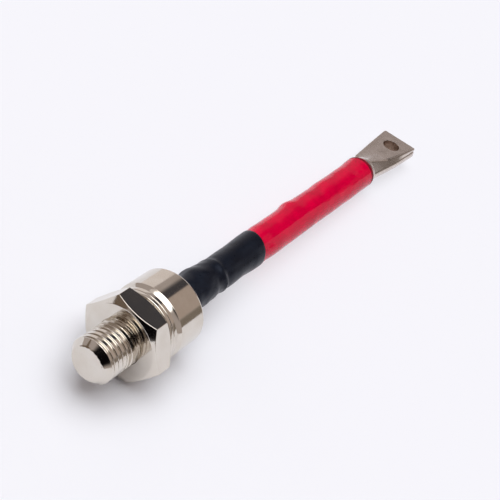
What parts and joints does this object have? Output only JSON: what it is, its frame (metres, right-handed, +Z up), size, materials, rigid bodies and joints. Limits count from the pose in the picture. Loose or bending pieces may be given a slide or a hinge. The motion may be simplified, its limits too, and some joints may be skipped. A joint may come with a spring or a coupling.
{
  "type": "stud diode",
  "caption": "Stud-mounted power rectifier diode: hexagon base with threaded stud, plain round cap and a straight sleeved flexible lead that ends in a flattened cable lug.",
  "frame": {"origin": "on the stud's axis, in the middle of its threaded length", "axes": "+X along the axis from the stud to the lug, +Z up, square to a flat of the hexagon, with the part lying down"},
  "size_m": [0.1538, 0.0242, 0.021],
  "materials": {
    "nickel_plate": "bright nickel plate, warm grey",
    "plain_steel": "plain steel",
    "molybdenum": "lapped molybdenum",
    "silicon": "polished silicon",
    "silver": "soft silver foil",
    "copper": "bare copper",
    "white_plastic": "white plastic",
    "alumina": "ground white ceramic",
    "seal_glass": "fused glass bead",
    "black_shrink_sleeve": "satin black shrink sleeve",
    "red_shrink_sleeve": "satin crimson shrink sleeve",
    "tinned_copper": "dull tin on copper"
  },
  "bodies": {
    "root": {"base_stud": "nickel_plate", "weld_ring": "nickel_plate", "cap": "nickel_plate", "spring_crown": "plain_steel", "pressure_plate": "plain_steel", "lower_spring": "plain_steel", "upper_spring": "plain_steel", "retaining_ring": "plain_steel", "seal_ring": "plain_steel", "lower_disc": "molybdenum", "silicon_wafer": "silicon", "silver_foil": "silver", "top_contact": "copper", "inner_lead": "copper", "terminal_tube": "copper", "conductor": "copper", "centring_ring": "white_plastic", "insulating_washer": "alumina", "insulating_bush": "white_plastic", "glass_seal": "seal_glass", "black_sleeve": "black_shrink_sleeve", "red_sleeve": "red_shrink_sleeve", "cable_lug": "tinned_copper"}
  },
  "joints": []
}
